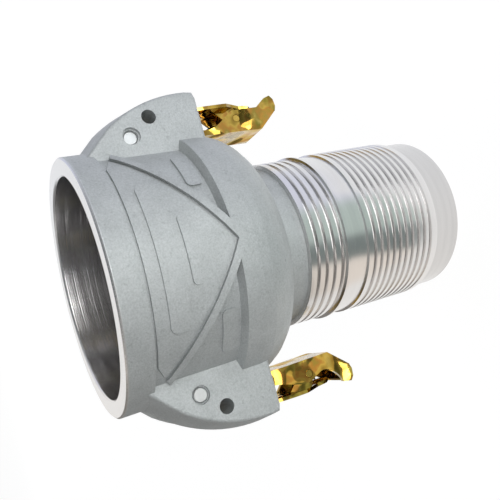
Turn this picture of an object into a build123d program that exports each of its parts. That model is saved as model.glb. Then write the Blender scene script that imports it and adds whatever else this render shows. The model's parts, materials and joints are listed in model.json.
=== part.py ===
from build123d import *
import math
import os

# A cam-and-groove coupler with a hose shank. It stands on the end of its shank, mouth up.
# Origin: centre of the shank's end face. +Z: up the axis to the mouth. +X: to the right-hand arm.
# Depths are measured down from the mouth's face, and "out" is the distance from the axis.

# --- driving dimensions, in millimetres -------------------------------------------------------
overall_length = 143.6

# mouth and socket; each wall is measured out from the socket's bore
socket_radius = 38.25
rim_wall = 6.25
panel_wall = 5.65
pocket_wall = 4.85
belt_wall = 7.85
band_depth = 9.4
band_groove_width = 0.9
mouth_chamfer = 0.6

# chevron on both sides of the head: a bead with a line cut along its inner edge
chevron_spread = 57.5
chevron_foot_below_band = 4.4
chevron_apex_below_belt = 4.1
bead_width = 2.8
bead_height = 0.8
line_width = 1.3
line_depth = 0.8

# blank pads raised on the field and in the pockets; each is (across, along the axis, corner)
large_pad = (45.0, 6.4, 2.0)
large_pad_below_band = 7.9
small_pad = (21.0, 3.4, 1.4)
small_pad_below_band = 15.0
pocket_pad = (12.5, 5.2, 1.5)
pocket_pad_above_belt = 4.4
pocket_pad_out = 26.0
pad_height = 0.7

# gasket, its seat, and the thick belt of the casting around it
gasket_depth = 40.0
gasket_thickness = 6.35
gasket_undercut = 1.45
gasket_ledge = 2.4
gasket_side_clearance = 0.2
gasket_top_gap = 0.15
gasket_ease = 0.6
belt_above_gasket = 2.0
belt_width = 7.0
belt_step = 1.2
dome_length = 17.3
dome_facets = 7

# stub of the casting's gate, on both sides of the neck
stub_radius = 1.3
stub_height = 1.1
stub_below_dome = 1.4

# hose shank
waterway_radius = 27.75
throat_length = 11.65
neck_wall = 2.65
neck_length = 8.8
front_land_wall = 4.35
front_land_count = 5
front_land_pitch = 3.45
collar_wall = 5.15
plain_wall = 4.25
plain_length = 8.1
rear_land_wall = 4.95
rear_land_pitch = 3.02
end_land_width = 4.0
pilot_wall = 3.65
pilot_length = 12.95
groove_depth = 1.1
groove_width = 1.5
shank_end_chamfer = 0.8

# arm pivot: how far it lies inside the belt's radius, and above the gasket
pivot_inside_belt = 3.1
pivot_above_gasket = 17.2
pivot_pin_radius = 2.5
pivot_pin_recess = 2.0
pivot_pin_inset = 0.2
pivot_pin_chamfer = 0.4
pivot_running_clearance = 0.06
pin_counterbore_gap = 0.55
pin_counterbore_depth = 1.2

# ears: two drafted cheeks each side; their outline is measured out from the pivot and down from it
cheek_thickness = 14.3
ear_draft = 13.0
ear_edge_round = 1.0
ear_foot_depth = 6.6
ear_root_rise = -7.0
ear_foot_rise = -5.4
ear_brow = (3.6, -7.0)
ear_crown = (10.6, 5.8)
ear_heel = (13.4, 22.4)
ear_back_below = 25.6
ear_corner = 2.4

# safety-clip hole, measured out from the pivot and down from it
clip_rise = 5.95
clip_below = 7.4
clip_hole_radius = 2.5
clip_arm_clearance = 0.3

# arm: a pressed channel, open outwards; rises are out from the pivot, and the rest is down from it
arm_width = 16.0
arm_sheet = 1.6
arm_side_clearance = 1.2
heel_rise = 3.8
heel_below = (25.2, 27.2)
web_rise = 2.2
web_below = 32.2
ramp_below = 57.7
tip_below = 66.4
tip_rise = 11.0
lip_rise = 15.4
edge_rise = 8.4
root_rise = 9.4
crest_rise = 10.2
scoop_rise = 4.6
scoop_below = 31.2
scoop_end_rise = 11.0
scoop_end_below = 46.7

# cam: a steel block riveted in the channel
hub_socket_clearance = 0.15
cam_bite = 4.95
cam_nose_radius = 4.0
cam_nose_drop = 0.8
cam_window_margin = 0.8
window_overcut = 4.0
cam_leg_end = 23.2
cam_edge_inset = 0.2
rivet_radius = 1.6
rivet_head_overhang = 1.1
rivet_head_height = 0.6
rivet_rise = 6.6
rivet_below = (14.2, 20.6)

# release lever over the channel, its pin and its spring
lever_sheet = 1.3
lever_rise = 14.0
lever_front_fall = 2.2
lever_end_fall = 0.6
lever_front_below = 13.2
lever_neck_below = 49.2
lever_end_below = 58.2
lever_tongue_width = 8.0
lever_side_gap = 0.3
lever_corner = 2.0
lever_pin_rise = 7.6
lever_pin_below = 47.7
lever_pin_radius = 1.5
lever_pin_clearance = 0.06
lever_pin_chamfer = 0.2
flange_wall = 1.5
flange_sheet = 1.4
flange_gap = 0.4
flange_root_length = 9.0
flange_root_above_pin = 4.0
spring_wire = 0.7
spring_pin_gap = 0.2
spring_turns = 4
spring_leg_reach = (8.0, 7.0)
spring_leg_gap = (0.35, 0.75)

# --- values worked out from them --------------------------------------------------------------
rim_radius = socket_radius + rim_wall
panel_radius = socket_radius + panel_wall
pocket_radius = socket_radius + pocket_wall
belt_radius = socket_radius + belt_wall
neck_radius = waterway_radius + neck_wall
front_land_radius = waterway_radius + front_land_wall
collar_radius = waterway_radius + collar_wall
plain_radius = waterway_radius + plain_wall
rear_land_radius = waterway_radius + rear_land_wall
pilot_radius = waterway_radius + pilot_wall

gasket_outer_radius = socket_radius + gasket_undercut
gasket_inner_radius = waterway_radius + gasket_ledge
seat_depth = gasket_depth + gasket_thickness
throat_end = seat_depth + throat_length
belt_start = gasket_depth - belt_above_gasket
dome_start = belt_start + belt_width
dome_end = dome_start + dome_length
neck_end = dome_end + neck_length
front_lands_end = neck_end + front_land_count * front_land_pitch
rear_lands_start = front_lands_end + plain_length
rear_lands_room = overall_length - pilot_length - end_land_width - rear_lands_start
rear_land_count = round(rear_lands_room / rear_land_pitch) + 1
rear_lands_end = rear_lands_start + (rear_land_count - 1) * rear_land_pitch + end_land_width

pivot_out = belt_radius - pivot_inside_belt
pivot_depth = gasket_depth - pivot_above_gasket
hub_radius = pivot_out - socket_radius - hub_socket_clearance
cam_reach = pivot_out - socket_radius + cam_bite
window_start = pivot_depth - cam_reach - cam_window_margin
window_end = pivot_depth + cam_reach + cam_window_margin
slot_half_width = arm_width / 2 + arm_side_clearance
ear_half_width = slot_half_width + cheek_thickness
spring_coil_radius = lever_pin_radius + spring_pin_gap + spring_wire
sides = {"right": 0, "left": 180}


def height(depth):
    """Height above the shank's end of a place this deep below the mouth."""
    return overall_length - depth


def at(out, depth):
    """A point of a side view: distance from the axis, and height."""
    return (out, height(depth))


def by_pivot(rise, below):
    """A point of the right-hand arm's side view, from its pivot: how far out, and how far down."""
    return at(pivot_out + rise, pivot_depth + below)


def turned(*points):
    """Spin an outline of (radius, depth) points round the axis."""
    outline = make_face(Polyline(*[at(*p) for p in points], close=True))
    return revolve(Plane.XZ * outline, Axis.Z)


def plate(outline, y_low, y_high):
    """Thicken a side-view outline between two places across the arm's plane."""
    base = Plane((0, y_high, 0), x_dir=(1, 0, 0), z_dir=(0, -1, 0))
    return extrude(base * outline, amount=y_high - y_low)


def cross_pin(centre, radius, y_low, y_high):
    """A round bar along Y through a point of the side view."""
    x, z = centre
    base = Plane((x, y_low, z), x_dir=(1, 0, 0), z_dir=(0, 1, 0))
    return extrude(base * Circle(radius), amount=y_high - y_low)


def disc(centre, radius):
    """A round face in the side view."""
    return Pos(*centre) * Circle(radius)


def outline_face(*edges):
    """A face inside a ring of edges that meet end to end."""
    return make_face(Curve() + list(edges))


pivot = by_pivot(0, 0)
clip = by_pivot(clip_rise, clip_below)
lever_pivot = by_pivot(lever_pin_rise, lever_pin_below)
rivets = {"front": by_pivot(rivet_rise, rivet_below[0]), "rear": by_pivot(rivet_rise, rivet_below[1])}


# --- coupler body -----------------------------------------------------------------------------
def groove(centre, radius):
    """Outline of one shank groove: a flat floor between two sloped flanks."""
    half = groove_width / 2
    flank = groove_width / 4
    return [
        (radius, centre - half),
        (radius - groove_depth, centre - half + flank),
        (radius - groove_depth, centre + half - flank),
        (radius, centre + half),
    ]


def shank_points():
    """Outer profile of the hose shank, from the neck to its end."""
    flank = groove_width / 4
    points = [(neck_radius, neck_end), (front_land_radius, neck_end + flank)]
    for i in range(1, front_land_count):
        points += groove(neck_end + i * front_land_pitch, front_land_radius)
    collar_start = front_lands_end - front_land_pitch + groove_width
    points += [(front_land_radius, collar_start), (collar_radius, collar_start + flank)]
    points += [(collar_radius, front_lands_end - flank), (plain_radius, front_lands_end)]
    points += [(plain_radius, rear_lands_start - flank), (rear_land_radius, rear_lands_start)]
    for i in range(1, rear_land_count):
        points += groove(rear_lands_start + i * rear_land_pitch, rear_land_radius)
    points += [(rear_land_radius, rear_lands_end - flank), (pilot_radius, rear_lands_end)]
    points += [(pilot_radius, overall_length - shank_end_chamfer)]
    points += [(pilot_radius - shank_end_chamfer, overall_length)]
    return points


def casting():
    """The turned envelope of the casting, solid, with no ears and no bores yet."""
    head = [
        (0, 0),
        (rim_radius - mouth_chamfer, 0),
        (rim_radius, mouth_chamfer),
        (rim_radius, band_depth - band_groove_width / 2),
        (pocket_radius, band_depth),
        (pocket_radius, belt_start - belt_step / 2),
        (belt_radius, belt_start + belt_step / 2),
        (belt_radius, dome_start),
    ]
    dome = []
    for i in range(1, dome_facets + 1):
        turn = math.radians(90 * i / dome_facets)
        radius = neck_radius + (belt_radius - neck_radius) * math.cos(turn)
        dome.append((radius, dome_start + dome_length * math.sin(turn)))
    return turned(*head, *dome, *shank_points(), (0, overall_length))


def field_skin(rise):
    """A thin tapered tube to trim raised work from, that far above the field.

    The field starts a little inside the band and comes out level with the belt."""
    inner = pocket_radius - 1
    start = band_depth + band_groove_width / 2
    end = belt_start + chevron_apex_below_belt + 1
    return turned((inner, start), (panel_radius + rise, start), (belt_radius + rise, end), (inner, end))


def pad(size, out, depth):
    """The outline of a blank pad in side view."""
    return Pos(*at(out, depth)) * RectangleRounded(*size)


def chevron(rise):
    """The field inside the chevron's two legs in side view, with the legs moved up by rise.

    Each leg is a straight line on the unrolled head, from its foot beside an ear to the apex."""
    foot_depth = band_depth + chevron_foot_below_band - rise
    apex_depth = belt_start + chevron_apex_below_belt - rise
    middle_depth = (foot_depth + apex_depth) / 2
    legs = []
    for side in (1, -1):
        foot_out = side * panel_radius * math.sin(math.radians(chevron_spread))
        middle_out = side * panel_radius * math.sin(math.radians(chevron_spread / 2))
        legs.append(ThreePointArc(at(0, apex_depth), at(middle_out, middle_depth), at(foot_out, foot_depth)))
    back = Polyline(legs[0] @ 1, at(0, -band_depth), legs[1] @ 1)
    return outline_face(legs[0], back, legs[1])


def raised_work():
    """What stands up on the casting's sides: a field, its chevron bead, blank pads and a stub."""
    reach = belt_radius + bead_height
    field = field_skin(0) & plate(chevron(0), -reach, reach)
    bead = field_skin(bead_height) & plate(chevron(0) - chevron(bead_width), -reach, reach)
    pads = pad(large_pad, 0, band_depth + large_pad_below_band)
    pads += pad(small_pad, 0, band_depth + small_pad_below_band)
    work = field + bead + (field_skin(pad_height) & plate(pads, -reach, reach))
    pocket_pads = Sketch()
    for side in (1, -1):
        pocket_pads += pad(pocket_pad, side * pocket_pad_out, belt_start - pocket_pad_above_belt)
    radius = pocket_radius + pad_height
    pocket_skin = turned((0, 0), (radius, 0), (radius, belt_start), (0, belt_start))
    work += plate(pocket_pads, -reach, reach) & pocket_skin
    stub = at(0, dome_end + stub_below_dome)
    return work + cross_pin(stub, stub_radius, -neck_radius - stub_height, neck_radius + stub_height)


def chevron_line():
    """What is cut along the inner edge of the chevron's bead."""
    reach = belt_radius + bead_height
    strip = plate(chevron(bead_width) - chevron(bead_width + line_width), -reach, reach)
    return strip & (field_skin(2 * bead_height) - field_skin(-line_depth))


def ear():
    """The right-hand ear: two drafted cheeks with a slot between them."""
    foot = at(pivot_out + ear_foot_rise, ear_foot_depth)
    back_rise = ear_heel[0]
    brow = Line(foot, by_pivot(*ear_brow))
    crown = ThreePointArc(by_pivot(*ear_brow), by_pivot(*ear_crown), by_pivot(*ear_heel))
    rest = Polyline(
        by_pivot(*ear_heel),
        by_pivot(back_rise - ear_corner / 8, ear_back_below - ear_corner / 4),
        by_pivot(back_rise - ear_corner, ear_back_below),
        by_pivot(ear_root_rise, ear_back_below),
        at(pivot_out + ear_root_rise, ear_foot_depth),
        foot,
    )
    base = Plane((0, -ear_half_width, 0), x_dir=(1, 0, 0), z_dir=(0, -1, 0))
    cheek = extrude(base * outline_face(brow, crown, rest), amount=-cheek_thickness, taper=-ear_draft)
    outer_face = cheek.faces().sort_by(Axis.Y)[0]
    shown = [edge for edge in outer_face.edges() if edge.center().X > pivot_out + ear_foot_rise]
    cheek = fillet(shown, ear_edge_round)
    return cheek + mirror(cheek, Plane.XZ)


def ear_cuts():
    """What is cut at one ear: the cam's window, the pivot hole and the safety-clip hole."""
    low, high = socket_radius - window_overcut, rim_radius + window_overcut
    centre = at((low + high) / 2, (window_start + window_end) / 2)
    window = Box(high - low, slot_half_width * 2, window_end - window_start)
    reach = ear_half_width + 1
    cuts = Pos(centre[0], 0, centre[1]) * window
    cuts += cross_pin(pivot, pivot_pin_radius, -reach, reach)
    cuts += cross_pin(clip, clip_hole_radius, -reach, reach)
    floor = ear_half_width - pin_counterbore_depth
    for start, end in ((-reach, -floor), (floor, reach)):
        cuts += cross_pin(pivot, pivot_pin_radius + pin_counterbore_gap, start, end)
    return cuts


def coupler_body():
    """The aluminium casting: socket, ears, neck and hose shank in one piece."""
    body = casting() + raised_work() - chevron_line()
    for turn in sides.values():
        body += Rot(0, 0, turn) * ear()
    seat_radius = gasket_outer_radius + gasket_side_clearance
    body -= turned(
        (0, -1),
        (socket_radius + mouth_chamfer + 1, -1),
        (socket_radius, mouth_chamfer),
        (socket_radius, gasket_depth),
        (seat_radius, gasket_depth),
        (seat_radius, seat_depth),
        (gasket_inner_radius, seat_depth),
        (waterway_radius, throat_end),
        (waterway_radius, overall_length - 1),
        (waterway_radius + 1, overall_length),
        (waterway_radius + 1, overall_length + 1),
        (0, overall_length + 1),
    )
    for turn in sides.values():
        body -= Rot(0, 0, turn) * ear_cuts()
    return body


def gasket():
    """The flat rubber ring that the mating adapter presses on, with eased corners."""
    ease = gasket_ease
    outer, inner = gasket_outer_radius, gasket_inner_radius
    top, bottom = gasket_depth + gasket_top_gap, seat_depth
    return turned(
        (inner + ease, top),
        (outer - ease, top),
        (outer, top + ease),
        (outer, bottom - ease),
        (outer - ease, bottom),
        (inner + ease, bottom),
        (inner, bottom - ease),
        (inner, top + ease),
    )


# --- one arm, as the right-hand one -----------------------------------------------------------
def wall_root(edge_inset, end):
    """The part of a wall, or of the cam, that lies in the ear, in side view."""
    root = Polyline(
        by_pivot(hub_radius - 0.2, -1.2),
        by_pivot(edge_rise - edge_inset, 8.2),
        by_pivot(root_rise - edge_inset, 15.2),
        by_pivot(root_rise - edge_inset, end),
        by_pivot(heel_rise, end),
        by_pivot(heel_rise, 13.2),
        by_pivot(-2.0, 4.2),
        by_pivot(0.2 - hub_radius, 1.2),
        close=True,
    )
    return outline_face(root) + disc(pivot, hub_radius)


def body_side():
    """The arm's line beside the body: the heel over the belt, the web, the ramp and the tip."""
    return [
        by_pivot(heel_rise, heel_below[0]),
        by_pivot(heel_rise, heel_below[1]),
        by_pivot(web_rise, web_below),
        by_pivot(web_rise, ramp_below),
        by_pivot(tip_rise - 2.0, tip_below - 0.7),
        by_pivot(tip_rise, tip_below),
        by_pivot(lip_rise - 1.6, tip_below - 0.3),
        by_pivot(lip_rise, tip_below - 1.6),
    ]


def full_wall():
    """The wall whose edge runs the whole arm, in side view."""
    lip_foot = by_pivot(lip_rise - 0.8, tip_below - 5.2)
    start = by_pivot(edge_rise, heel_below[0])
    edge = Spline(
        lip_foot,
        by_pivot(edge_rise + 0.8, tip_below - 9.0),
        by_pivot(edge_rise - 0.4, tip_below - 12.0),
        by_pivot(crest_rise, lever_pin_below + 0.5),
        by_pivot(edge_rise, lever_pin_below - 10.5),
        start,
    )
    return outline_face(edge, Polyline(start, *body_side(), lip_foot))


def scooped_wall():
    """The wall that is scooped out between the ear and the release lever's pin."""
    lip_foot = by_pivot(lip_rise - 0.8, tip_below - 4.2)
    start = by_pivot(edge_rise, heel_below[0])
    scoop_end = by_pivot(scoop_end_rise, scoop_end_below)
    edge = Spline(
        scoop_end,
        by_pivot(edge_rise - 0.8, scoop_end_below - 4.9),
        by_pivot(scoop_rise + 0.3, scoop_end_below - 9.5),
        by_pivot(scoop_rise, scoop_below),
        start,
    )
    shoulder = by_pivot(scoop_end_rise + 0.2, scoop_end_below + 11.0)
    return outline_face(edge, Polyline(start, *body_side(), lip_foot, shoulder, scoop_end))


def sheet_strip(points, thickness):
    """A strip of sheet on the outward side of a side-view line."""
    return make_face(offset(Polyline(*points), amount=thickness, side=Side.LEFT, closed=True))


def arm_holes(with_lever_pin):
    """The running hole on the pivot, the clip hole, the rivet holes and the lever pin's hole."""
    reach = arm_width
    holes = cross_pin(pivot, pivot_pin_radius + pivot_running_clearance, -reach, reach)
    holes += cross_pin(clip, clip_hole_radius + clip_arm_clearance, -reach, reach)
    for centre in rivets.values():
        holes += cross_pin(centre, rivet_radius, -reach, reach)
    if with_lever_pin:
        holes += cross_pin(lever_pivot, lever_pin_radius, -reach, reach)
    return holes


def cam_arm():
    """The pressed channel: two walls, the web between them and the turned-up tip."""
    half = arm_width / 2
    root = wall_root(0, heel_below[0] + 1.0)
    shell = plate(root + scooped_wall(), -half, -half + arm_sheet)
    shell += plate(root + full_wall(), half - arm_sheet, half)
    shell += plate(sheet_strip(body_side(), arm_sheet), -half, half)
    return shell - arm_holes(with_lever_pin=True)


def cam_block():
    """The steel cam: a flat-fronted hub, the lobe that enters the socket, and a riveted leg."""
    half = arm_width / 2 - arm_sheet
    nose = by_pivot(cam_nose_radius - cam_reach, cam_nose_drop)
    lobe = make_hull(disc(pivot, hub_radius).edges() + disc(nose, cam_nose_radius).edges())
    cam = plate(lobe + wall_root(cam_edge_inset, cam_leg_end), -half, half)
    front = by_pivot(0, -hub_radius)
    keep_flat = Box(cam_reach * 4, arm_width, hub_radius * 2)
    cam -= Pos(front[0], 0, front[1] + hub_radius) * keep_flat
    return cam - arm_holes(with_lever_pin=False)


def cam_rivet(centre):
    """A round-headed rivet through both walls and the cam."""
    half = arm_width / 2
    rivet = cross_pin(centre, rivet_radius, -half, half)
    for low in (-half - rivet_head_height, half):
        rivet += cross_pin(centre, rivet_radius + rivet_head_overhang, low, low + rivet_head_height)
    heads = rivet.edges().filter_by(GeomType.CIRCLE).sort_by(Axis.Y)
    return fillet([heads[0], heads[-1]], rivet_head_height * 0.6)


def pivot_pin():
    """The arm's pivot, pressed into both cheeks, short of one face."""
    low = -ear_half_width + pivot_pin_recess
    pin = cross_pin(pivot, pivot_pin_radius, low, ear_half_width - pivot_pin_inset)
    return chamfer(pin.edges().filter_by(GeomType.CIRCLE), pivot_pin_chamfer)


def lever_plan():
    """The release lever seen from outside the arm: a wide strap that narrows to a thumb tongue."""
    half = arm_width / 2 - lever_side_gap
    tongue = lever_tongue_width / 2
    right = [
        (half - lever_corner, lever_front_below),
        (half, lever_front_below + lever_corner),
        (half, lever_neck_below - 4.0),
        (tongue, lever_neck_below + 3.0),
        (tongue, lever_end_below - lever_corner),
        (tongue - lever_corner, lever_end_below),
    ]
    corners = right + [(-y, below) for y, below in reversed(right)]
    return make_face(Polyline(*[(y, height(pivot_depth + below)) for y, below in corners], close=True))


def lever_strap():
    """The strap's long section: a gently arched sheet from the ear to the thumb tongue."""
    top = [
        (lever_rise - lever_front_fall, lever_front_below),
        (lever_rise - lever_front_fall / 2, lever_front_below + 8.0),
        (lever_rise - lever_front_fall / 6, lever_pin_below - 15.5),
        (lever_rise, lever_pin_below - 6.5),
        (lever_rise, lever_neck_below),
        (lever_rise - lever_end_fall, lever_end_below),
    ]
    outer = Spline(*[by_pivot(rise, below) for rise, below in top])
    inner = Spline(*[by_pivot(rise - lever_sheet, below) for rise, below in top])
    return outline_face(outer, Line(outer @ 1, inner @ 1), inner, Line(inner @ 0, outer @ 0))


def release_lever():
    """A sprung strap over the arm's open side, with two flanges down to its pin."""
    trim = extrude(Plane.YZ * lever_plan(), amount=pivot_out + lever_rise + 1)
    lever = plate(lever_strap(), -arm_width, arm_width) & trim
    root_centre = by_pivot(lever_rise - lever_sheet, lever_pin_below - flange_root_above_pin)
    root = Pos(*root_centre) * Rectangle(1, flange_root_length)
    eye = disc(lever_pivot, lever_pin_radius + flange_wall)
    flange = make_hull(eye.edges() + root.edges())
    inside = arm_width / 2 - arm_sheet - flange_gap
    for low in (-inside, inside - flange_sheet):
        lever += plate(flange, low, low + flange_sheet)
    return lever - cross_pin(lever_pivot, lever_pin_radius + lever_pin_clearance, -arm_width, arm_width)


def lever_pin():
    """The release lever's pin, pressed in flush with both walls."""
    pin = cross_pin(lever_pivot, lever_pin_radius, -arm_width / 2, arm_width / 2)
    return chamfer(pin.edges().filter_by(GeomType.CIRCLE), lever_pin_chamfer)


def lever_spring():
    """The torsion spring on the lever's pin: a close coil with one leg on the web, one on the strap."""
    half = spring_turns * spring_wire / 2
    coil = cross_pin(lever_pivot, spring_coil_radius, -half, half)
    coil -= cross_pin(lever_pivot, spring_coil_radius - spring_wire, -half - 1, half + 1)
    rail = spring_coil_radius - spring_wire / 2
    x, z = lever_pivot
    web_face = pivot_out + web_rise + arm_sheet
    strap_face = pivot_out + lever_rise - lever_sheet
    web_end = (web_face + spring_wire / 2 + spring_leg_gap[0], half, z + spring_leg_reach[0])
    strap_end = (strap_face - spring_wire / 2 - spring_leg_gap[1], -half, z - spring_leg_reach[1])
    web_leg = wire((x - rail, half - spring_wire / 2, z), web_end)
    strap_leg = wire((x + rail, spring_wire / 2 - half, z), strap_end)
    return coil + web_leg + strap_leg


def wire(start, end):
    """A straight round wire from one point to another."""
    along = Vector(*end) - Vector(*start)
    base = Plane(start, z_dir=along.normalized())
    return extrude(base * Circle(spring_wire / 2), amount=along.length)


# --- write every piece ------------------------------------------------------------------------
def pieces():
    """Every piece by name, with the left-hand arm turned half way round the axis."""
    made = {"coupler_body": coupler_body(), "gasket": gasket()}
    one_arm = {
        "cam_arm": cam_arm(),
        "cam_block": cam_block(),
        "front_cam_rivet": cam_rivet(rivets["front"]),
        "rear_cam_rivet": cam_rivet(rivets["rear"]),
        "pivot_pin": pivot_pin(),
        "release_lever": release_lever(),
        "lever_pin": lever_pin(),
        "lever_spring": lever_spring(),
    }
    for side, turn in sides.items():
        for name, solid in one_arm.items():
            made[f"{side}_{name}"] = Rot(0, 0, turn) * solid
    return made


os.makedirs("parts", exist_ok=True)
for name, solid in pieces().items():
    export_step(solid, f"parts/{name}.step")
    print(name, len(solid.solids()), round(solid.volume, 1), solid.is_valid)
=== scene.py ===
# %% [markdown]
# # A camlock coupling for a hose
#
# The real object is a sand-cast aluminium coupling: a turned socket at the top, two pressed
# steel cam arms that pull an adapter into it, and a ribbed shank below that a hose is crimped
# onto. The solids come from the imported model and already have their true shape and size, so
# this lesson is about finish: how casting skin, turned metal, plated sheet and rubber differ,
# and how light shows it. Loading comes first, because every later step asks the frame for sizes.

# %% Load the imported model
import json
from math import cos, radians, sin

import bpy
from mathutils import Matrix, Vector


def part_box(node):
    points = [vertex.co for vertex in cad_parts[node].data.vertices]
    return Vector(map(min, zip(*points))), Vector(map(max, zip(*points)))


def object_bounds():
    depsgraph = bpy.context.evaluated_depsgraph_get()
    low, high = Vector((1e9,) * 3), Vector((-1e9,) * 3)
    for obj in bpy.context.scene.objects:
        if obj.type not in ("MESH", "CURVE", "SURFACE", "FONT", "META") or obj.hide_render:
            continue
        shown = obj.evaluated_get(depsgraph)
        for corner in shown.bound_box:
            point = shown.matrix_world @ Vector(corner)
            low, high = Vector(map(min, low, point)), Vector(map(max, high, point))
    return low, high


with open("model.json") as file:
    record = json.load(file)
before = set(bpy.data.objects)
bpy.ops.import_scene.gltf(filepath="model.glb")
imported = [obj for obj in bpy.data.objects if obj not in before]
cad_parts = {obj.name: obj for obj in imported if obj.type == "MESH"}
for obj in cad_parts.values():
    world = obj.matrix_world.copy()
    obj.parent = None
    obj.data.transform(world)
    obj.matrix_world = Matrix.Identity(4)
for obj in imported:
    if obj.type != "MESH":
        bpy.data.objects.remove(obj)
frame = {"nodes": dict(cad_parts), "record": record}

cad_box = [list(corner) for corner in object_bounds()]
nodes = frame["nodes"]

# %% [markdown]
# The record says how wide the socket is, and the body's box says how high its mouth stands.
# Reading both means that a finish still ends on the right edge when the model changes size.
# Lengths are in millimetres here, because that is how a fitting is drawn and machined.

# %% Read the sizes that the finishes follow
MM = 0.001
mounts = {mount["name"]: mount for mount in frame["record"]["mounts"]}
socket_radius = mounts["coupler_socket"]["dims"]["r_mm"]
mouth_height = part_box("coupler_body")[1].z / MM
print("socket radius", socket_radius, "mm, mouth at", round(mouth_height, 1), "mm")

# %% [markdown]
# ## The camera
#
# The coupling is seen from its side and a little above, with the camera rolled so that the
# fitting seems to lie down with its mouth to the left. A camera's own axes are columns of its
# matrix, so writing the three directions down is clearer than working out three turns. The two
# cross products make them square to each other, whatever was rounded off in writing them.

# %% Camera
camera_place = Vector((-20.0, -200.5, 178.7)) * MM
camera_right = Vector((-0.270, -0.407, -0.872)).normalized()
camera_forward = Vector((0.090, 0.892, -0.444)).normalized()
camera_up = camera_right.cross(camera_forward).normalized()
camera_forward = camera_up.cross(camera_right).normalized()

camera_data = bpy.data.cameras.new("camera")
camera_data.lens = 41.8
camera_data.sensor_width = 36.0
camera = bpy.data.objects.new("camera", camera_data)
camera_axes = Matrix((camera_right, camera_up, -camera_forward)).transposed()
camera.matrix_world = Matrix.Translation(camera_place) @ camera_axes.to_4x4()
bpy.context.scene.collection.objects.link(camera)
bpy.context.scene.camera = camera
print("camera", round(camera_place.length / MM), "mm from the middle of the shank's end")

# %% [markdown]
# ## Shader maths
#
# A finish that changes over a surface is a sum: so much casting skin here, so much turned metal
# there. Written as nodes, that is dozens of links. This small class wraps one socket and gives
# it Python's own operators, so the sum reads as a sum and each operator adds its Math node. The
# reflected forms, such as __rsub__, let a plain number stand first, as in 1 - mask.


# %% A socket with arithmetic
class Value:
    """One output socket in a material; arithmetic on it adds Math nodes to the same tree."""

    def __init__(self, tree, socket):
        self.tree = tree
        self.socket = socket

    def node(self, kind, settings, inputs, output=0):
        """Adds any node: its settings first, then the values or links of its sockets."""
        made = self.tree.nodes.new(kind)
        for name, setting in settings.items():
            if name == "stops":
                set_stops(made.color_ramp, setting)
            else:
                setattr(made, name, setting)
        for name, given in inputs.items():
            if isinstance(given, Value):
                self.tree.links.new(given.socket, made.inputs[name])
            else:
                made.inputs[name].default_value = given
        return Value(self.tree, made.outputs[output])

    def math(self, operation, first, second):
        return self.node("ShaderNodeMath", {"operation": operation}, {0: first, 1: second})

    def __neg__(self):
        return self.math("SUBTRACT", 0.0, self)

    def __add__(self, other):
        return self.math("ADD", self, other)

    def __radd__(self, other):
        return self.math("ADD", other, self)

    def __sub__(self, other):
        return self.math("SUBTRACT", self, other)

    def __rsub__(self, other):
        return self.math("SUBTRACT", other, self)

    def __mul__(self, other):
        return self.math("MULTIPLY", self, other)

    def __rmul__(self, other):
        return self.math("MULTIPLY", other, self)

    def __truediv__(self, other):
        return self.math("DIVIDE", self, other)

    def __rtruediv__(self, other):
        return self.math("DIVIDE", other, self)

    def __pow__(self, other):
        return self.math("POWER", self, other)

    def __rpow__(self, other):
        return self.math("POWER", other, self)

    def larger(self, other):
        return self.math("MAXIMUM", self, other)

    def steps(self, low, high):
        """0 below low, 1 above high, and a smooth rise between them."""
        settings = {"interpolation_type": "SMOOTHSTEP"}
        inputs = {"Value": self, "From Min": low, "From Max": high}
        return self.node("ShaderNodeMapRange", settings, inputs)

    def edge(self, place, softness):
        """0 below a place and 1 above it, smoothed over that softness on each side."""
        return self.steps(place - softness, place + softness)

    def blend(self, first, second):
        """A colour that is first where this value is 0, and second where it is 1."""
        inputs = {0: self, 6: first, 7: second}
        return self.node("ShaderNodeMix", {"data_type": "RGBA"}, inputs, output=2)

    def blend_normals(self, first, second):
        """The same for two normals, which a colour mix would clip."""
        inputs = {0: self, 4: first, 5: second}
        return self.node("ShaderNodeMix", {"data_type": "VECTOR"}, inputs, output=1)

    def ramp(self, stops):
        return self.node("ShaderNodeValToRGB", {"stops": stops}, {"Fac": self})


# %% [markdown]
# Two helpers go with it. A colour ramp starts with two stops, so more are added before the
# places and colours are set, and a neutral colour is written by its level alone.


# %% Ramps and greys
def set_stops(ramp, stops):
    """Gives a colour ramp its stops, each a place from 0 to 1 and a colour."""
    while len(ramp.elements) < len(stops):
        ramp.elements.new(0.5)
    for element, (place, colour) in zip(ramp.elements, stops):
        element.position = place
        element.color = colour


def grey(level):
    return (level, level, level, 1.0)


# %% [markdown]
# Every finish here is worked out from where a point lies on the part, never from the camera:
# x, y and z in millimetres, the distance from the axis, and noise of a stated grain size. The
# texture coordinates called Object do that, since each node's object sits at the frame's origin.


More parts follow.
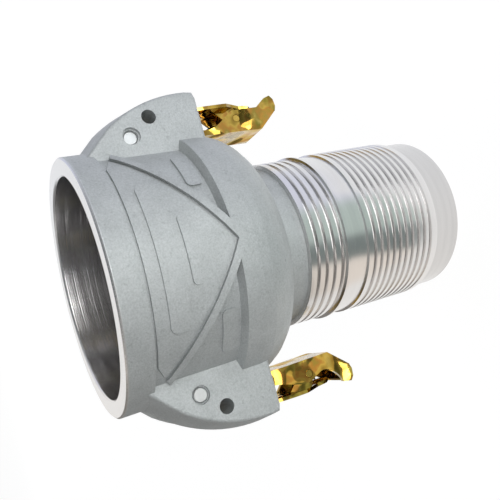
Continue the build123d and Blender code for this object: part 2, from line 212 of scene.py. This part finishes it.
# %% A material's starting points
class Surface:
    """A new material, with the places and the noises that its finish is worked out from."""

    def __init__(self, name, **constants):
        self.material = bpy.data.materials.new(name)
        self.material.use_nodes = True
        self.tree = self.material.node_tree
        self.shader = self.tree.nodes["Principled BSDF"]
        for socket, constant in constants.items():
            self.shader.inputs[socket.replace("_", " ")].default_value = constant
        place = self.tree.nodes.new("ShaderNodeTexCoord")
        metres = Value(self.tree, place.outputs["Object"])
        settings = {"operation": "SCALE"}
        self.place = metres.node("ShaderNodeVectorMath", settings, {0: metres, 3: 1 / MM})
        self.x, self.y, self.height = (self.axis(number) for number in range(3))
        self.radius = (self.x * self.x + self.y * self.y) ** 0.5

    def axis(self, number):
        inputs = {"Vector": self.place}
        return self.place.node("ShaderNodeSeparateXYZ", {}, inputs, output=number)

    def noise(self, grain, detail=2.0, along=None, roughness=0.5):
        """Noise from 0 to 1 whose blobs are about grain millimetres across."""
        inputs = {
            "Vector": along or self.place,
            "Scale": 1.0 / grain,
            "Detail": detail,
            "Roughness": roughness,
        }
        return self.place.node("ShaderNodeTexNoise", {}, inputs)

    def stretched(self, x_share, y_share, z_share):
        """The place, squeezed along each axis, so that noise on it is drawn out."""
        shares = (x_share, y_share, z_share)
        settings = {"operation": "MULTIPLY"}
        return self.place.node("ShaderNodeVectorMath", settings, {0: self.place, 1: shares})

    def bump(self, height, depth, over=None):
        """A bump of that depth in millimetres, for a height from 0 to 1, over another bump."""
        inputs = {"Height": height, "Distance": depth * MM, "Strength": 1.0}
        if over is not None:
            inputs["Normal"] = over
        return self.place.node("ShaderNodeBump", {}, inputs)

    def set(self, **given):
        """Links what varies into the shader's sockets, and hands the material back."""
        for name, value in given.items():
            self.tree.links.new(value.socket, self.shader.inputs[name.replace("_", " ")])
        print(self.material.name, "has", len(self.tree.nodes), "nodes")
        return self.material


# %% [markdown]
# ## Casting skin and turned metal
#
# The body is one casting with two surfaces. The mould's sand leaves a dull, even grain on the
# outside; the lathe then cuts the mouth, the socket and the whole shank bright, in fine rings
# round the axis. Two materials on one mesh would need its faces split along the join, so one
# material holds both, and a mask made of heights and radii says which is which. The mask takes
# the largest of three: the shank, the bore from socket to waterway, and the mouth's face.

# %% Where the lathe has cut
SHANK_TOP = 72.4
WALL_MARGIN = 0.5
THROAT = (48.0, 62.0)
THROAT_NARROWING = 9.0
RIM_BAND = (0.05, 1.1)
RIM_RADIUS = 45.1


def turned_share(surface):
    """1 where the lathe has cut the casting, 0 on the skin that the mould left."""
    depth = mouth_height - surface.height
    shank = 1 - surface.height.edge(SHANK_TOP, 0.3)
    narrowing = depth.steps(*THROAT) * THROAT_NARROWING
    inside = 1 - (surface.radius + narrowing).edge(socket_radius + WALL_MARGIN, 0.1)
    face = (1 - depth.steps(*RIM_BAND)) * (1 - surface.radius.edge(RIM_RADIUS, 0.2))
    return shank.larger(inside.larger(face))


print("turned below", SHANK_TOP, "mm, and inside a radius of", socket_radius + WALL_MARGIN, "mm")

# %% [markdown]
# The skin is grey with three things on it: a broad mottle, a grain about as fine as the sand,
# and a few darker pits. It is about half metallic, because an as-cast skin scatters light much
# as paint does. The turned metal is fully metallic, and shows its rings mostly through its normal:
# rings too fine to be seen singly still spread the reflections along the axis. A second, coarser
# noise stands for the feed marks. Its colour drifts from warm on the west side to cool on the
# east, a painted reflection of the warm and blue surroundings, and painted shade darkens the plain
# end.

# %% Cast and turned aluminium
PILOT_TOP = 12.8
WALL_FOOT = 98.0
SHANK_SPREAD = 70.0


def casting_skin(surface, mottle, grain):
    """The colour of the skin: a level of grey, held a little off neutral towards blue-green."""
    pits = surface.noise(1.6, detail=3.0).steps(0.60, 0.78)
    level = 0.46 + (mottle - 0.5) * 0.14 + (grain - 0.5) * 0.28 - pits * 0.09
    return level.blend(grey(0.0), (0.96, 1.0, 1.0, 1.0))


def turned_metal(surface, feed_marks):
    """Turned metal colour: painted shade on the plain end, painted warm-to-cool reflection."""
    # painted shade: the shank's plain end is made darker, standing in for its darker reflection
    pilot_painted_shade = 1 - surface.height.edge(PILOT_TOP, 0.4)
    level = 0.74 + (feed_marks - 0.5) * 0.16 - pilot_painted_shade * 0.10
    # painted reflection: warm on the west side and cool on the east, like the sky and floor round
    # it
    across = surface.x / SHANK_SPREAD + 0.5
    return level.blend(grey(0.0), across.blend((1.0, 0.96, 0.92, 1.0), (0.96, 0.97, 1.0, 1.0)))


def lathe_rings(surface):
    """Fine rings round the axis, faint on the shank and stronger on the socket's wall."""
    rings = surface.noise(0.35, detail=1.0, along=surface.stretched(0.002, 0.002, 1.0))
    above_foot = surface.height.edge(WALL_FOOT, 1.0)
    socket_wall = above_foot - surface.radius.edge(socket_radius + WALL_MARGIN, 0.1)
    return rings * (0.08 + socket_wall.steps(0.0, 1.0) * 0.24)


def cast_and_turned():
    """The body's finish: sand-cast skin, with the mouth, socket and shank turned bright."""
    surface = Surface("cast_and_turned_aluminium", Specular_IOR_Level=0.5)
    turned = turned_share(surface)
    mottle = surface.noise(9.0, detail=3.0)
    grain = surface.noise(0.55, detail=2.0, roughness=0.6)
    feed_marks = surface.noise(2.6, detail=2.0, along=surface.stretched(0.06, 0.06, 1.0))
    skin_bump = surface.bump(mottle, 0.25, over=surface.bump(grain, 0.10))
    ring_bump = surface.bump(lathe_rings(surface), 0.20)
    skin = casting_skin(surface, mottle, grain)
    return surface.set(
        Base_Color=turned.blend(skin, turned_metal(surface, feed_marks)),
        Roughness=0.56 + (grain - 0.5) * 0.10 - turned * (0.34 - (feed_marks - 0.5) * 0.12),
        Metallic=0.45 + turned * 0.55,
        Normal=turned.blend_normals(skin_bump, ring_bump),
    )


finishes = {"cast_aluminium": cast_and_turned()}

# %% [markdown]
# ## Yellow zinc plating
#
# The arms and their levers are pressed sheet with a yellow zinc plating. It is a thin clear film
# over metal, so its colour wanders between straw, olive and rose with the film's thickness, and
# its gloss stays high. Two noises added together stand for that thickness, and a colour ramp
# turns it into the film's colours. Pressing leaves the sheet slightly wavy, which a broad, deep
# bump suggests, with fine scuffs drawn along the arm over it.


# %% Yellow zinc
def yellow_zinc():
    surface = Surface("yellow_zinc_plating", Metallic=1.0)
    film = surface.noise(11.0, detail=2.0)
    drift = surface.noise(4.5, detail=1.5)
    colour = (film * 0.5 + drift * 0.5).ramp(
        [
            (0.34, (0.27, 0.16, 0.03, 1.0)),
            (0.43, (0.42, 0.29, 0.05, 1.0)),
            (0.50, (0.60, 0.41, 0.08, 1.0)),
            (0.56, (0.49, 0.25, 0.05, 1.0)),
            (0.64, (0.36, 0.27, 0.05, 1.0)),
            (0.74, (0.68, 0.52, 0.15, 1.0)),
        ]
    )
    scuffs = surface.noise(0.8, detail=3.0, along=surface.stretched(1.0, 0.4, 0.3))
    waves = surface.bump(surface.noise(11.0, detail=0.5), 7.0)
    return surface.set(
        Base_Color=colour,
        Roughness=0.10 + scuffs.steps(0.5, 0.8) * 0.10,
        Normal=surface.bump(scuffs, 0.004, over=waves),
    )


finishes["yellow_zinc_steel"] = yellow_zinc()

# %% [markdown]
# ## Plain steels
#
# The cams, rivets, pins and springs are small steel pieces, some plated and some ground bare.
# They differ in how bright, how smooth and how yellow they are, so one function makes them all.
# An uneven wipe, and fine scratches along the pins, keep a small bright piece from looking like
# plastic.


# %% Steel
def steel(name, level, rough, tint=(1.0, 1.0, 1.0, 1.0)):
    surface = Surface(name, Metallic=1.0)
    wipe = surface.noise(1.4, detail=3.0)
    shade = level + (wipe - 0.5) * 0.12
    scratches = surface.noise(0.25, detail=1.0, along=surface.stretched(1.0, 0.15, 1.0))
    return surface.set(
        Base_Color=shade.blend(grey(0.0), tint),
        Roughness=rough + (wipe - 0.5) * 0.10,
        Normal=surface.bump(scratches, 0.004),
    )


finishes["steel_block"] = steel("plated_cam_block", 0.55, 0.34, (0.95, 0.78, 0.42, 1.0))
finishes["rivet_steel"] = steel("plated_rivets", 0.62, 0.26, (1.0, 0.68, 0.14, 1.0))
finishes["pin_steel"] = steel("ground_pin_steel", 0.76, 0.32)
finishes["spring_steel"] = steel("spring_wire", 0.45, 0.30)

# %% [markdown]
# ## Rubber
#
# The seal is moulded black rubber. It is never quite black: a grey bloom comes to its surface in
# patches, which are also a little duller than the rest.


# %% Rubber
def rubber():
    surface = Surface("black_rubber_seal", Specular_IOR_Level=0.4)
    bloom = surface.noise(5.0, detail=3.0)
    level = 0.028 + bloom.steps(0.45, 0.8) * 0.03
    return surface.set(
        Base_Color=level.blend(grey(0.0), grey(1.0)),
        Roughness=0.52 + (bloom - 0.5) * 0.15,
        Normal=surface.bump(surface.noise(0.4, detail=2.0), 0.03),
    )


finishes["black_rubber"] = rubber()

# %% [markdown]
# ## Dressing the model
#
# Each CAD node comes with the name of a material slot, which says what it is made of. Linking
# the slot to the object, and not to its mesh, changes the look and leaves the mesh as it was.

# %% Dress every CAD node
for name, node in nodes.items():
    for place in node.material_slots:
        slot = place.material.name.split(".")[0]
        place.link = "OBJECT"
        place.material = finishes[slot]
    print(name, "wears", node.material_slots[0].material.name)

# %% [markdown]
# ## The floor
#
# Behind the part the floor sweeps up into a backdrop in a quarter circle, so that no horizon
# shows. It is one strip of faces that follows a profile, drawn once at each side.

# %% Floor with a backdrop
SWEEP_START = 5.0
SWEEP_RADIUS = 1.5
FLOOR_REACH = 12.0
SWEEP_STEPS = 12
FLOOR_GAP = 0.0002
floor_height = cad_box[0][2] - FLOOR_GAP
profile = [(-FLOOR_REACH, floor_height), (SWEEP_START, floor_height)]
for step in range(1, SWEEP_STEPS + 1):
    turn = radians(90) * step / SWEEP_STEPS
    run = SWEEP_START + SWEEP_RADIUS * sin(turn)
    profile.append((run, floor_height + SWEEP_RADIUS * (1 - cos(turn))))
profile.append((SWEEP_START + SWEEP_RADIUS, floor_height + FLOOR_REACH))

floor_points = [(side * FLOOR_REACH, y, z) for y, z in profile for side in (-1, 1)]
floor_faces = [(i, i + 1, i + 3, i + 2) for i in range(0, 2 * len(profile) - 2, 2)]
floor_mesh = bpy.data.meshes.new("floor")
floor_mesh.from_pydata(floor_points, [], floor_faces)
for face in floor_mesh.polygons:
    face.use_smooth = True
floor = bpy.data.objects.new("floor", floor_mesh)
bpy.context.scene.collection.objects.link(floor)
print("floor of", len(floor_mesh.polygons), "faces")

# %% [markdown]
# Bright metal shows what stands round it rather than its own colour. The coupling stands on the
# floor and is seen from above, so its shank mirrors the floor, and a floor that glows white all
# over would wash the cylinder out. In a studio, cards of grey and tinted paper are laid just
# outside the camera's view. Here the floor holds them itself.
#
# It glows white round the part and behind it, like a light table. Three straight edges bound
# that: south of the first lie the cards, west of the second the floor is dark grey, and east of
# the third it turns a faint blue. The cards fan out from the axis, from cream in the west through
# dark and green grey to pale blue in the east, and each makes one band along the shank. The
# price is that they are in plain sight from other sides.

# %% The glow and the cards
CREAM = (0.95, 0.87, 0.79, 1.0)
DARK_CARD = (0.14, 0.18, 0.175, 1.0)
GREEN_GREY = (0.48, 0.58, 0.54, 1.0)
PALE_BLUE = (0.78, 0.80, 0.92, 1.0)
FAINT_BLUE = (0.80, 0.82, 0.95, 1.0)
DARK_SIDE = (0.25, 0.24, 0.23, 1.0)
FAN = [
    (0.16, CREAM),
    (0.22, DARK_CARD),
    (0.38, DARK_CARD),
    (0.43, GREEN_GREY),
    (0.62, GREEN_GREY),
    (0.72, PALE_BLUE),
]
FAN_SPREAD = 3.0
SOUTH_EDGE = (-62.0, -56.0)
SOUTH_SLANT = 0.39
WEST_EDGE = (-165.0, -140.0)
WEST_SLANT = 0.2
EAST_EDGE = (112.0, 150.0)
EAST_SLANT = 0.64


def pale_floor():
    """A white glow round the part, with cards to the south and a dark side to the west."""
    surface = Surface("pale_floor", Roughness=0.9, Base_Color=grey(0.10), Emission_Strength=0.93)
    north_of_cards = (surface.y + surface.x * SOUTH_SLANT).steps(*SOUTH_EDGE)
    east_of_dark = (surface.x + surface.y * WEST_SLANT).steps(*WEST_EDGE)
    far_east = (surface.x - surface.y * EAST_SLANT).steps(*EAST_EDGE)
    sideways = surface.x / -surface.y
    cards = (sideways / FAN_SPREAD + 0.5).ramp(FAN)
    lit = north_of_cards.blend(cards, far_east.blend(grey(1.0), FAINT_BLUE))
    return surface.set(Emission_Color=east_of_dark.blend(DARK_SIDE, lit))


floor_mesh.materials.append(pale_floor())

# %% [markdown]
# ## Sky
#
# The rest of the light is a broad, even sky: a little blue to the east, a little warm to the
# west, and dimmer to the south, where the camera stands. Matt casting needs that unevenness,
# because a sky of one brightness all round flattens a grey body to a cut-out.

# %% A sky that dims behind the camera
SKY_STRENGTH = 0.72
world = bpy.data.worlds.new("studio")
bpy.context.scene.world = world
world.use_nodes = True
sky_tree = world.node_tree
toward = Value(sky_tree, sky_tree.nodes.new("ShaderNodeTexCoord").outputs["Generated"])
east, north = (toward.node("ShaderNodeSeparateXYZ", {}, {"Vector": toward}, i) for i in (0, 1))
sky_tint = east.steps(-0.8, 0.8).blend((1.0, 0.95, 0.90, 1.0), (0.90, 0.93, 1.0, 1.0))
southern = 1 - north.steps(-0.30, 0.45)
sky = southern.blend(sky_tint, (0.22, 0.24, 0.25, 1.0))
background = sky_tree.nodes["Background"]
sky_tree.links.new(sky.socket, background.inputs["Color"])
background.inputs["Strength"].default_value = SKY_STRENGTH
print("sky of", len(sky_tree.nodes), "nodes")

# %% [markdown]
# ## Softboxes
#
# Three softboxes add what even light can't give. The key stands near the camera, towards the
# top of its view, and models the casting. The low one stands in front, just above the floor, and
# lifts what the key leaves dark. The narrow one hangs above the mouth and draws one long
# highlight down the socket's wall.


# %% Softboxes
def softbox(name, from_middle, width, height, power):
    """A rectangular lamp that far from the middle of the part, in metres, turned to face it."""
    lamp = bpy.data.lights.new(name, "AREA")
    lamp.shape = "RECTANGLE"
    lamp.size = width
    lamp.size_y = height
    lamp.energy = power
    holder = bpy.data.objects.new(name, lamp)
    holder.location = middle + from_middle
    holder.rotation_euler = from_middle.to_track_quat("Z", "Y").to_euler()
    bpy.context.scene.collection.objects.link(holder)
    print(name, width, "by", height, "m,", power, "W")


middle = (Vector(cad_box[0]) + Vector(cad_box[1])) / 2
key_place = camera_up * 0.50 + camera_right * 0.10 - camera_forward
low_place = Vector((-0.10, -1.00, 0.12))
mouth_place = Vector((-0.40, -0.50, 0.60))
softbox("key_softbox", key_place, width=0.7, height=0.7, power=4.7)
softbox("low_softbox", low_place, width=0.8, height=0.3, power=3.2)
softbox("mouth_softbox", mouth_place, width=0.15, height=0.5, power=0.9)
bpy.context.scene.view_settings.view_transform = "Standard"

# %% [markdown]
# ## Sizes
#
# Looks leave the part's size as it is. The CAD box, taken when the model was loaded, is printed.

# %% Print the CAD box
print("CAD box", cad_box)
